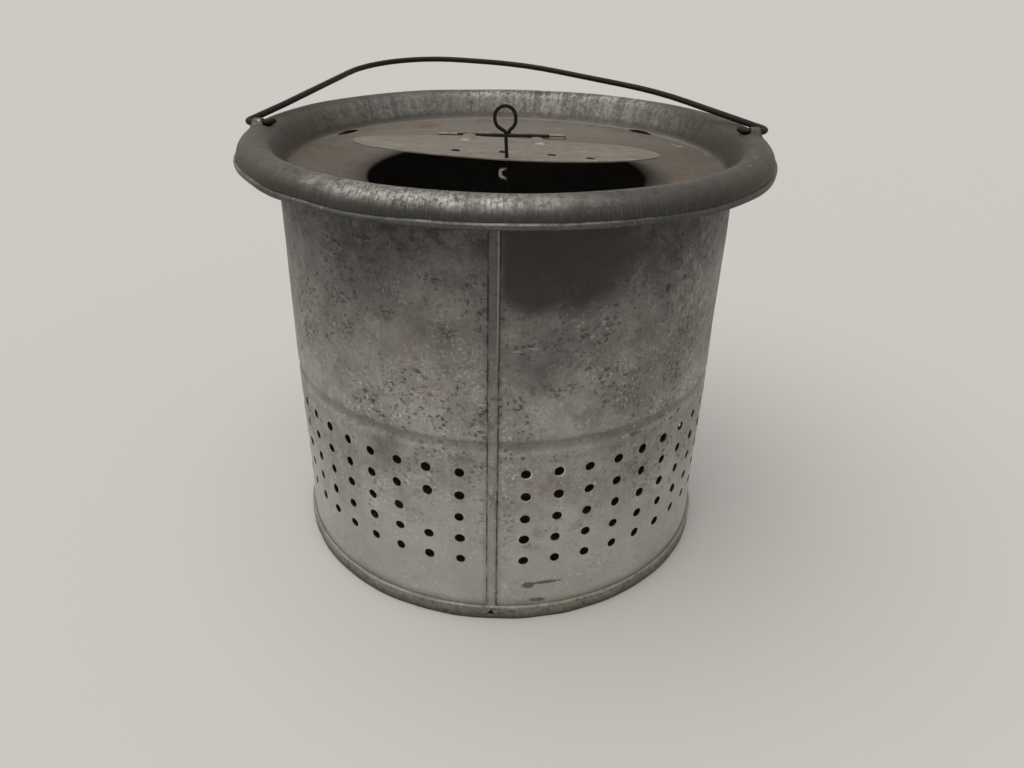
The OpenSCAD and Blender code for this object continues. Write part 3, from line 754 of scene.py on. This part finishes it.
def build_wall(material, inner_material, edge_material):
    """The wall with its punched holes: each hole has its own patch of mesh, and some wear to its shape."""
    per_cell = 6
    columns = CELLS * per_cell
    cell_w = 360 / CELLS
    rng = np.random.default_rng(5)
    lattice, az, z, bump = {}, [], [], []

    def vertex(azimuth, height, out=0.0):
        az.append(azimuth)
        z.append(height)
        bump.append(out)
        return len(az) - 1

    def corner(c, level):
        key = (c % columns, round(level, 4))
        if key not in lattice:
            lattice[key] = vertex(SEAM_AZ + (c - per_cell / 2) * cell_w / per_cell, level)
        return lattice[key]

    faces = []
    low_z = ROW_Z - ROW_PITCH / 2
    top_z = low_z + ROWS * ROW_PITCH
    cell_levels = [low_z + i * ROW_PITCH / per_cell for i in range(ROWS * per_cell + 1)]
    below = list(np.linspace(HEM_TOP - 2.5, low_z, 9))[:-1]
    swage = list(np.arange(96.6, 108.0, 0.95))
    above = [top_z] + swage + list(np.linspace(110.0, 210.6, 34))

    def strip(levels, c0, c1):
        for low, high in zip(levels, levels[1:]):
            for c in range(c0, c1):
                faces.append((corner(c, low), corner(c + 1, low), corner(c + 1, high), corner(c, high)))

    strip(below + [low_z], 0, columns)
    strip(above, 0, columns)
    hole_rims = []
    for cell in range(CELLS):
        for row in range(ROWS):
            c0 = cell * per_cell
            levels = cell_levels[row * per_cell:(row + 1) * per_cell + 1]
            if cell == 0 or (cell, row) == BLANK:
                strip(levels, c0, c0 + per_cell)
                continue
            steps = range(per_cell)
            edge = [(c0 + i, levels[0]) for i in steps] + [(c0 + per_cell, levels[i]) for i in steps]
            edge += [(c0 + per_cell - i, levels[-1]) for i in steps]
            edge += [(c0, levels[per_cell - i]) for i in steps]
            centre_az = SEAM_AZ + cell * cell_w + rng.normal(0, 0.10)
            centre_z = ROW_Z + row * ROW_PITCH + rng.normal(0, 0.16)
            radius = HOLE_R * (1 + rng.normal(0, 0.022))
            squash, squash_a = rng.uniform(0, 0.05), rng.uniform(0, math.pi)
            lean, lean_a = rng.uniform(0.05, 0.22), rng.uniform(0, 2 * math.pi)
            rings = [[corner(c, level) for c, level in edge]]
            for share, lift in ((0.62, 0), (0.30, 0), (0.10, 0.4), (0.03, 0.85), (0, 0.7)):
                ring = []
                for c, level in edge:
                    edge_az = SEAM_AZ + (c - per_cell / 2) * cell_w / per_cell
                    du = (edge_az - centre_az) * MM_PER_DEGREE
                    dv = level - centre_z
                    angle = math.atan2(dv, du)
                    r = radius * (1 + squash * math.cos(2 * (angle - squash_a)))
                    u = r * math.cos(angle) * (1 - share) + du * share
                    v = r * math.sin(angle) * (1 - share) + dv * share
                    out = lift * (0.10 + lean * math.cos(angle - lean_a))
                    ring.append(vertex(centre_az + u / MM_PER_DEGREE, centre_z + v, out))
                rings.append(ring)
            for a, b in zip(rings, rings[1:]):
                faces += joined(a, b)
            hole_rims.append(rings[-1])
    az, z, bump = np.array(az), np.array(z), np.array(bump)
    outside = wall_radius(az, z) + bump
    thickness = np.full(len(az), SHEET)
    thickness[np.concatenate(hole_rims)] = RIM_SHEET
    points = [around(az, outside, z), around(az, outside - thickness - 0.6 * bump, z)]
    n = len(az)
    faces += [tuple(n + i for i in reversed(f)) for f in faces]
    top = [corner(c, above[-1]) for c in range(columns)]
    foot = [corner(c, below[0]) for c in reversed(range(columns))]
    for rim in hole_rims + [top, foot]:
        faces += joined(rim, [n + i for i in rim])
    wall = new_piece("wall", np.concatenate(points), faces, material, "bucket", "body_zinc", ["shell"])
    stains = wall.data.color_attributes.new("stains", "FLOAT_COLOR", "POINT")
    values = np.zeros((2 * n, 4))
    for channel, marks in enumerate((CRUMBS, BLUSHES)):
        for mark_az, mark_z, (wide, tall) in marks:
            beside = turn_between(mark_az, az) * MM_PER_DEGREE
            near = 1 - smooth(np.hypot(beside / wide, (z - mark_z) / tall), 0.35, 1.2)
            values[:n, channel] = np.maximum(values[:n, channel], near)
    values[:, 3] = 1
    stains.data.foreach_set("color", values.ravel())
    wall.data.materials.append(inner_material)
    wall.data.materials.append(edge_material)
    for face in wall.data.polygons:
        face.material_index = 0 if max(face.vertices) < n else 1 if min(face.vertices) >= n else 2


def build_seam(material):
    """The lock seam's rib, a little uneven and knocked here and there."""
    levels = np.arange(HEM_TOP - 1.2, UNDERSIDE_Z - 4.2, 1.1)
    section = [(-1, -0.35), (-1, 0.1), (-0.94, 0.42), (-0.8, 0.6), (-0.5, 0.66), (-0.15, 0.6), (0.2, 0.6),
               (0.55, 0.72), (0.8, 0.72), (0.94, 0.5), (1, 0.1), (1, -0.35)]
    points = []
    for z in levels:
        p = np.array([[0.0, -BODY_R, z]])
        half = SEAM_W / 2 * (1 + 0.025 * float(field(p, 16, 21)[0]))
        aside = 0.10 * float(field(p, 30, 22)[0])
        tall = 1 + 0.09 * float(field(p, 7, 23)[0])
        for u, h in section:
            az = SEAM_AZ + (u * half + aside) / MM_PER_DEGREE
            r = float(wall_radius(np.array([az]), np.array([z]))[0]) + h * tall
            r = max(r, BODY_R + h * tall - 0.35) if h > 0.3 else r
            points.append(around(az, r, z))
    new_piece("seam", points, tube_faces(len(levels), len(section)), material, "bucket", "body_zinc")


def build_bottom(material):
    """The bottom panel and the seam that hems it to the wall, with the notch where the side seam ends."""
    profile = [(0, 4), (40, 4), (80, 4), (108, 4), (111.9, 3.9), (112.8, 3.5), (113.2, 2.8), (113.25, 0.9),
               (113.4, 0.3), (113.8, 0), (114.6, 0), (115.4, 0.05), (115.85, 0.3), (116.05, 0.8), (116.1, 1.8),
               (116.08, 3), (116, 4), (115.98, 5), (116.05, 6), (116.05, 6.8), (115.9, 7.4), (115.5, 7.85),
               (115, 7.95), (114.5, 7.9), (114.2, 7.4), (113.95, 6), (113.6, 5), (112.6, 4.55), (108, 4.55),
               (80, 4.55), (40, 4.55), (0, 4.55)]
    az = azimuths(1.6, fine=(SEAM_AZ,), fine_step=0.16, reach=2.2)
    flat = revolved(profile, az).reshape(-1, 3)
    r = radius_of(flat)
    outer = smooth(r, 114.4, 115.2)
    u = turn_between(SEAM_AZ, azimuth_of(flat)) * MM_PER_DEGREE
    push = outer * (0.10 * field(flat, 9, 31) + 0.12 * field(flat, 34, 32)) - 0.12 * outer
    push -= outer * 0.30 * (1 - smooth(np.abs(u), 1.5, 3.5)) * smooth(flat[:, 2], 3.0, 6.0)
    flat[:, :2] *= ((r + push) / np.maximum(r, 1e-6))[:, None]
    flat[:, 2] += (1 - smooth(r, 100, 110)) * 0.35 * (field(flat, 70, 33) - 0.4)
    piece = new_piece("bottom_panel", flat, ring_faces(len(profile), len(az)), material, "bucket", "body_zinc",
                      ["bottom"])
    # The discs close at the middle
    work = bmesh.new()
    work.from_mesh(piece.data)
    bmesh.ops.remove_doubles(work, verts=work.verts, dist=1e-7)
    work.to_mesh(piece.data)
    work.free()
    # A small triangle is missing from the hem where the side seam ends
    a = math.radians(SEAM_AZ)
    across, out = Vector((math.cos(a), math.sin(a), 0)), Vector((math.sin(a), -math.cos(a), 0))
    corners = ((-2.5, 3.3), (2.5, 3), (0.7, 4.6), (0.1, 6.4), (-0.8, 4.8))
    points = [tuple(out * r + across * u + Vector((0, 0, z))) for r in (114.75, 117.5) for u, z in corners]
    cut(piece, points, tube_faces(2, len(corners)))


# ---- collar ----


def collar_droop(p):
    """How far the collar is bent up or down, in mm, by azimuth and radius. It is true at the bail's ears."""
    az = azimuth_of(p)
    r = radius_of(p)
    away = smooth(np.abs(np.abs(az) - 90), 7, 24)
    out = smooth(r, 112, 132)
    low = -0.9 * np.exp(-(turn_between(48, az) / 24) ** 2) - 0.35 * np.exp(-(turn_between(-35, az) / 26) ** 2)
    return out * away * (low + 0.16 * field(p, 70, 41))


def build_pan(material):
    """The deck, the slanting wall, the domed crest and the ears, in one sheet."""
    az = azimuths(1.5, fine=(90, -90), fine_step=0.24, reach=2.8)
    mid = DECK_Z - SHEET / 2
    section = [[106, mid, 0], [CORNER_R, mid, 2], [SIDE_R, PEAK_Z, DOME_R], [SIDE_R, UNDERSIDE_Z + SHEET, 0]]
    upper = revolved(bent_line(section, step=6, spacing=1.9)[0], az)
    # From the lip of the opening out over the flat of the deck
    bend, lip_r = 1.2, OPENING_R + SHEET / 2
    lip = [(lip_r, LIP_Z), (lip_r, mid - bend)]
    lip += [(lip_r + bend * (1 - math.cos(t)), mid - bend * (1 - math.sin(t)))
            for t in np.radians((18, 36, 54, 72, 90))]
    deck = [around(az, r, z) + [0, OPENING_Y, 0] for r, z in lip]
    start, end = deck[-1], upper[0]
    deck += [start * (1 - t) + end * t for t in np.linspace(0, 1, 20)[1:-1]]
    grid = np.concatenate([np.array(deck), upper])
    flat = grid.reshape(-1, 3)
    r = radius_of(flat)
    # Ears: the crest rises over the bail's wire
    x, y = np.abs(flat[:, 0]), np.abs(flat[:, 1])
    arch = np.sqrt(np.maximum(EAR_R ** 2 - y ** 2, 0)) - 0.9 * smooth(y, EAR_R, EAR_R + 2.6)
    rise = np.maximum(PIVOT_Z + arch - flat[:, 2], 0) * (1 - smooth(y, EAR_R - 0.3, EAR_R + 3))
    span = smooth(x, EAR[0] - 1.6, EAR[0] + 0.3) * (1 - smooth(x, EAR[1] - 0.2, EAR[1] + 1.9))
    flat[:, 2] += rise * span * smooth(flat[:, 2], 216.5, 217.5)
    # Dents, away from the ears and on the flat of the deck
    flat[:, 2] += collar_droop(flat)
    flat[:, 2] += smooth(y, 6, 16) * smooth(r, 108, 114) * 0.10 * field(flat, 26, 43)
    from_lip = smooth(np.hypot(flat[:, 0], flat[:, 1] - OPENING_Y), 68, 78)
    flat[:, 2] -= (1 - smooth(r, 100, 108)) * from_lip * (0.18 + 0.16 * field(flat, 42, 44))
    faces = ring_faces(len(grid), len(az))
    pan = new_piece("collar_pan", flat, faces, material, "bucket", "collar_zinc", ["deck_pan"])
    thicken(pan)
    # Drain slots, shaped like a lens, through the corner round the deck
    half, width = DRAIN
    lens_r = (half ** 2 + width ** 2 / 4) / width
    t = np.linspace(-1, 1, 17) * half
    bow = np.sqrt(lens_r ** 2 - t ** 2) - (lens_r - width / 2)
    outline = [*zip(t, -bow), *zip(t[-2:0:-1], bow[-2:0:-1])]
    points, cut_faces = prism(outline, -3, 3)
    for az in DRAIN_AZ:
        place = turned(az, "Z") @ Matrix.Translation((0, -CORNER_R, mid)) @ turned(-45, "X")
        cut(pan, [place @ Vector(q) for q in points], cut_faces)
    rng = np.random.default_rng(45)
    for side in (-1, 1):
        # The torn slot that the bail's end comes out of
        turn = np.arange(0, 360, 20)
        ragged = 1 + rng.uniform(-0.10, 0.08, len(turn))
        outline = [(direction(t) * TORN_HALF * g + TORN) * (side, 1) for t, g in zip(turn[::side], ragged)]
        cut(pan, *prism(outline, 214, 224))


def build_rim(material):
    """The ring under the collar, with its flange on the wall and its curled rim."""
    inner, curl, mid = BODY_R + SHEET / 2 + 0.05, CURL_R - 0.05, UNDERSIDE_Z + SHEET / 2
    points = [[inner, UNDERSIDE_Z - 4, 0], [inner, mid, 1], [curl, mid, 1.1], [curl, CURL_TOP - 0.95, 0.65],
              [CURL_R - 1, CURL_TOP - 0.55, 0]]
    section, _ = bent_line(points, step=12, spacing=2.4)
    az = azimuths(1.5)
    flat = revolved(section, az).reshape(-1, 3)
    flat[:, 2] += collar_droop(flat)
    r = radius_of(flat)
    edge = smooth(r, 128, 132)
    flat[:, 2] += edge * (0.12 * field(flat, 24, 51) + 0.07 * field(flat, 8, 52)) - 0.15 * edge
    push = edge * (0.10 * field(flat, 18, 53) - 0.12)
    flat[:, :2] *= ((r + push) / r)[:, None]
    rim = new_piece("collar_rim", flat, ring_faces(len(section), len(az)), material, "bucket", "collar_zinc",
                    ["collar_underside"])
    thicken(rim)


def build_solder(material):
    """An uneven bead of solder where the collar's flange ends on the wall."""
    az = np.arange(-180, 180, 0.9)
    centre = around(az, BODY_R + 0.35, 205)
    centre[:, 2] += 0.28 * field(centre, 10, 61)
    size = 0.72 + 0.16 * field(centre, 5, 62) + 0.14 * field(centre, 14, 63)
    rows = [centre + around(az, size * math.cos(t) * 0.62, size * math.sin(t) * 1.25)
            for t in np.arange(8) * math.pi / 4]
    rows.append(rows[0])
    faces = [tuple(reversed(f)) for f in ring_faces(len(rows), len(az))]
    new_piece("solder", np.concatenate(rows), faces, material, "bucket", "collar_zinc")


# ---- hinge, lid and latch ----


def build_lid(material):
    az = np.arange(-180, 180, 2.0)
    profile = [(r, 0) for r in (0, 8, 16, 24, 32, 40, 47, 54, 60, 65, 69, 71.2, 72.2)]
    flat = revolved(profile, az).reshape(-1, 3)
    lid = new_piece("lid_plate", flat, ring_faces(len(profile), len(az)), material, "lid", "lid_zinc", ["lid"])
    thicken(lid, SHEET - 0.06)
    circle = [direction(t) for t in np.arange(0, 360, 15)]
    for across, forward in VENTS:
        cut(lid, *prism([c * 1.4 + (across, -forward) for c in circle], -2, 2))
    cut(lid, *prism([c * 0.8 + (0, HINGE_BACK - LATCH_FORWARD) for c in circle], -2, 2))
    mesh = lid.data
    p = 1000 * np.array([v.co for v in mesh.vertices])
    r = radius_of(p)
    # The plate is warped a little, but flat where the straps and the latch hold it
    near_strap = np.exp(-((np.abs(p[:, 0] - BARREL_X) - STRAP_GAP / 2) / 8) ** 2) * smooth(p[:, 1], 0, 20)
    near_latch = np.exp(-(p[:, 0] ** 2 + (p[:, 1] + 63.6) ** 2) / 60)
    level = p.copy()
    level[:, 2] = 0
    warp = 0.16 * field(level, 40, 71) + 0.25 * (r / LID_R) ** 2 * field(level, 95, 72)
    p[:, 2] += warp * (1 - near_strap) * (1 - near_latch)
    mesh.vertices.foreach_set("co", (p / 1000).ravel())
    mesh.transform(LEANING @ shift(0, -HINGE_BACK, LID_Z))
    mesh.update()
    shade(lid)


def build_vent_burrs(material):
    """The raised burrs that a nail left round the lid's vent holes."""
    az = np.arange(-180, 180, 20.0)
    profile = [(1.95, -0.15), (1.85, 0.25), (1.68, 0.52), (1.52, 0.58), (1.42, 0.45), (1.42, -0.15)]
    points, faces = [], []
    for k, (across, forward) in enumerate(VENTS):
        ring = revolved(profile, az).reshape(-1, 3)
        top = smooth(ring[:, 2], 0.2, 0.6)
        ring[:, 2] += top * 0.16 * field(ring, 3, 75 + k)
        faces += [tuple(len(az) * len(profile) * k + i for i in f) for f in ring_faces(len(profile), len(az))]
        points.append(ring + [across, -forward, SHEET / 2])
    place = LEANING @ shift(0, -HINGE_BACK, LID_Z)
    new_piece("vent_burrs", np.concatenate(points), faces, material, "lid", "lid_zinc", (), place)


def build_leaf(material):
    """The rolled barrel, with the lap of its sheet, and two straps with their spot welds."""
    # A roll that starts at the strap's plane and closes on itself
    inner, outer = 0.80, BARREL_R
    angles = np.radians(np.linspace(-130, 222, 40))
    ring = [(r * math.cos(t), r * math.sin(t)) for r, turn in ((outer, 1), (inner, -1)) for t in angles[::turn]]
    xs = np.linspace(BARREL_X - BARREL_L / 2, BARREL_X + BARREL_L / 2, 28)
    flat = np.array([(x, y, z) for x in xs for y, z in ring])
    flat[:, 2] += np.where(flat[:, 2] > 0.9, 0.035 * field(flat, 6, 81), 0)
    n = len(ring)
    faces = ring_faces(len(xs), n)
    faces += [(i, i + 1, n - 2 - i, n - 1 - i)[::-1] for i in range(n // 2 - 1)]
    base = (len(xs) - 1) * n
    faces += [(base + i, base + i + 1, base + n - 2 - i, base + n - 1 - i) for i in range(n // 2 - 1)]
    new_piece("hinge_barrel", flat, faces, material, "lid", "lid_zinc", ["hinge_leaf"], AT_HINGE)
    for seed, side, name in ((90, -1, "hinge_strap_left"), (91, 1, "hinge_strap_right")):
        place = LEANING @ shift(BARREL_X + side * STRAP_GAP / 2, 0, LID_Z + SHEET / 2)
        new_piece(name, *strap_mesh(seed), material, "lid", "lid_zinc", (), place)


def strap_mesh(seed):
    """One strap, from the barrel to its rounded end, dished and raised at its spot weld."""
    half = STRAP_W / 2
    ys = np.concatenate([np.linspace(-0.8, -STRAP_L + 8, 30), np.linspace(-STRAP_L + 7.4, -STRAP_L + 0.02, 16)])
    us = np.linspace(-1, 1, 11)
    top = []
    for y in ys:
        from_end = y + STRAP_L
        width = half * (math.sqrt(max(1 - (1 - from_end / 2.2) ** 2, 0.02)) if from_end < 2.2 else 1)
        for u in us:
            x = u * width
            r = math.hypot(x, y + STRAP_L - half)
            weld = 0.55 * (1 - float(smooth(r, 0.8, 3.0))) - 0.25 * (1 - float(smooth(r, 0.0, 1.0)))
            low = max(float(smooth(abs(u), 0.45, 1.0)), 1 - float(smooth(from_end, 0.0, 1.6)))
            top.append((x, y, SHEET * (1 - 0.75 * low) + weld * (1 - low)))
    top = np.array(top)
    top[:, 2] += 0.05 * field(top, 5, seed)
    bottom = top.copy()
    bottom[:, 2] = 0.02
    rows, cols = len(ys), len(us)
    n = rows * cols
    faces = [tuple(reversed(f)) for f in ring_faces(rows, cols, closed=False)]
    faces += [tuple(n + i for i in f) for f in ring_faces(rows, cols, closed=False)]
    border = ([(r, 0) for r in range(rows)] + [(rows - 1, c) for c in range(1, cols)]
              + [(r, cols - 1) for r in range(rows - 2, -1, -1)] + [(0, c) for c in range(cols - 2, 0, -1)])
    ids = [r * cols + c for r, c in border]
    return np.concatenate([top, bottom]), faces + joined(ids, [n + i for i in ids])


def build_hinge_wire(material):
    left, right, leg = BARREL_X - BARREL_L / 2 - 10.6, BARREL_X + BARREL_L / 2 + 9.0, 3.05
    path = [[left + 6, -leg, 0], [left, -leg, 0.85], [left, 0, 1.05], [right, 0, 1.05], [right, -leg, 0.85],
            [right - 6, -leg, 0]]
    wire = swept(*bent_line(path, step=12, spacing=1.6), 0.75, 14, seed=3, rough=0.012)
    new_piece("hinge_staple", *wire, material, "bucket", "wire", ["hinge_wire"], shift(*HINGE) @ UPRIGHT)


def build_latch(material):
    ring_r = 4.175
    ring_z, kink = ring_r + 1.5, -NECK - 3.8
    bow = ring_r - 0.02
    path = [[0.9, -NECK - TAIL, 0], [-0.7, kink - 4.6, 0.8], [-2.8, kink - 3.4, 0.8], [-2.8, kink - 0.9, 0.8],
            [0, kink, 0.8], [0, 0, 1.5], [-ring_r, ring_z - 3, bow], [-ring_r, ring_z + ring_r, bow],
            [ring_r, ring_z + ring_r, bow], [ring_r, ring_z - 3, bow], [1.35, 0.35, 0.6], [1.32, -1.0, 0]]
    wire = swept(*bent_line(path, step=8, spacing=0.9), 0.725, 14, seed=4, rough=0.014)
    new_piece("latch_pin", *wire, material, "latch", "wire", ["latch_wire"], AT_LATCH @ UPRIGHT)


# ---- bail ----


def build_bail(material):
    half, inner = 134.5, 122.625
    path = [[-inner + 4.6, 5, 0], [-inner + 2.4, 0, 3.6], [-half + 2.4, 0, 2.9], [-120, 33, 120],
            [-81, 151, 57], [8, 133, 117], [87, 73, 133], [half, 0, 3.6], [inner - 2.4, 0, 3.6],
            [inner - 4.6, 5, 0]]
    wire = swept(*bent_line(path, step=6, spacing=2), 1.6, 16, seed=6, rough=0.01)
    place = shift(0, 0, PIVOT_Z) @ turned(6, "X")
    new_piece("bail_handle", *wire, material, "bail", "bail_wire", ["bail"], place)


# ---- the bucket ----

build_wall(body_material(), inside_material(), edge_material())
build_seam(seam_material())
build_bottom(hem_material())
build_pan(collar_material())
rim_zinc, lid_zinc = rim_material(), lid_material()
build_rim(rim_zinc)
build_solder(rim_zinc)
build_lid(lid_zinc)
build_vent_burrs(lid_zinc)
build_leaf(lid_zinc)
build_hinge_wire(wire_material("hinge steel", (0.20, 0.185, 0.155), (0.10, 0.065, 0.04), 0.4))
# A painted glint on the latch's kink
kink = moved(AT_LATCH @ UPRIGHT, -2.4, -NECK - 6, 0)
build_latch(wire_material("latch steel", (0.010, 0.0085, 0.0075), (0.028, 0.017, 0.011), 0.40,
                          [(kink, (3.5, 3.0, 3.2))]))
build_bail(wire_material("bail steel", (0.017, 0.0145, 0.012), (0.046, 0.028, 0.018), 0.45))

# ---- studio ----

FLOOR_COLOR = (0.645, 0.628, 0.606)
FLOOR_HALF = 8000
ROOM_LIGHT = (0.38, 0.375, 0.367)
ROOM_SEEN = (0.60, 0.58, 0.555)
SUN_COLOR = (1.0, 0.975, 0.94)
SUN_ENERGY = 1.8
SUN_ANGLE = 75
SUN_WAY = (0.30, 0.16, -1.0)
# The photograph's camera: pitch, yaw and roll in degrees, place in metres, focal length and width in pixels
PITCH, YAW, ROLL = 28.458, 0.701, 1.203
EYE = (0.0, -0.4216, 0.3019)
FOCAL_PX, WIDTH_PX = 810.3, 1024
SENSOR_MM = 36.0


def build_floor():
    corners = [(-FLOOR_HALF, -FLOOR_HALF, 0), (FLOOR_HALF, -FLOOR_HALF, 0), (FLOOR_HALF, FLOOR_HALF, 0),
               (-FLOOR_HALF, FLOOR_HALF, 0)]
    floor = mesh_object("floor", corners, [(0, 1, 2, 3)])
    material = bpy.data.materials.new("floor")
    material.use_nodes = True
    feed(material.node_tree.nodes["Principled BSDF"], {"Base Color": FLOOR_COLOR, "Roughness": 0.7})
    floor.data.materials.append(material)


def build_world():
    """A pale room: what the eye and gloss see is paler than the light it gives."""
    world = bpy.data.worlds.new("room")
    world.use_nodes = True
    bpy.context.scene.world = world
    tree = world.node_tree
    path = add_node(tree, "LightPath").outputs
    seen = path["Is Camera Ray"]
    for kind in ("Is Glossy Ray", "Is Transmission Ray"):
        seen = add_node(tree, "Math", {0: seen, 1: path[kind]}, operation="MAXIMUM").outputs[0]
    tint = add_node(tree, "Mix", {0: seen, 6: ROOM_LIGHT, 7: ROOM_SEEN}, data_type="RGBA").outputs[2]
    feed(tree.nodes["Background"], {"Color": tint, "Strength": 1})


def build_sun():
    """Soft light from high up, a little left and in front, the same all over the floor."""
    light = bpy.data.lights.new("ceiling", "SUN")
    light.angle = math.radians(SUN_ANGLE)
    light.energy = SUN_ENERGY
    light.color = SUN_COLOR
    lamp = placed(bpy.data.objects.new("ceiling", light))
    lamp.rotation_euler = Vector(SUN_WAY).to_track_quat("-Z", "Y").to_euler()


def build_camera():
    """Three-quarter height in front of the bucket, at the photograph's viewing angle."""
    pitch, yaw, roll = map(math.radians, (PITCH, YAW, ROLL))
    forward = Vector((math.sin(yaw) * math.cos(pitch), math.cos(yaw) * math.cos(pitch), -math.sin(pitch)))
    level = forward.cross(Vector((0, 0, 1))).normalized()
    above = level.cross(forward)
    right = math.cos(roll) * level + math.sin(roll) * above
    up = math.cos(roll) * above - math.sin(roll) * level
    data = bpy.data.cameras.new("camera")
    data.sensor_width = SENSOR_MM
    data.lens = FOCAL_PX * SENSOR_MM / WIDTH_PX
    camera = placed(bpy.data.objects.new("camera", data))
    camera.matrix_world = Matrix([(*column, place) for *column, place in zip(right, up, -forward, EYE)]
                                 + [(0, 0, 0, 1)])
    bpy.context.scene.camera = camera


build_floor()
build_world()
build_camera()
build_sun()
bpy.context.scene.view_settings.view_transform = "Standard"
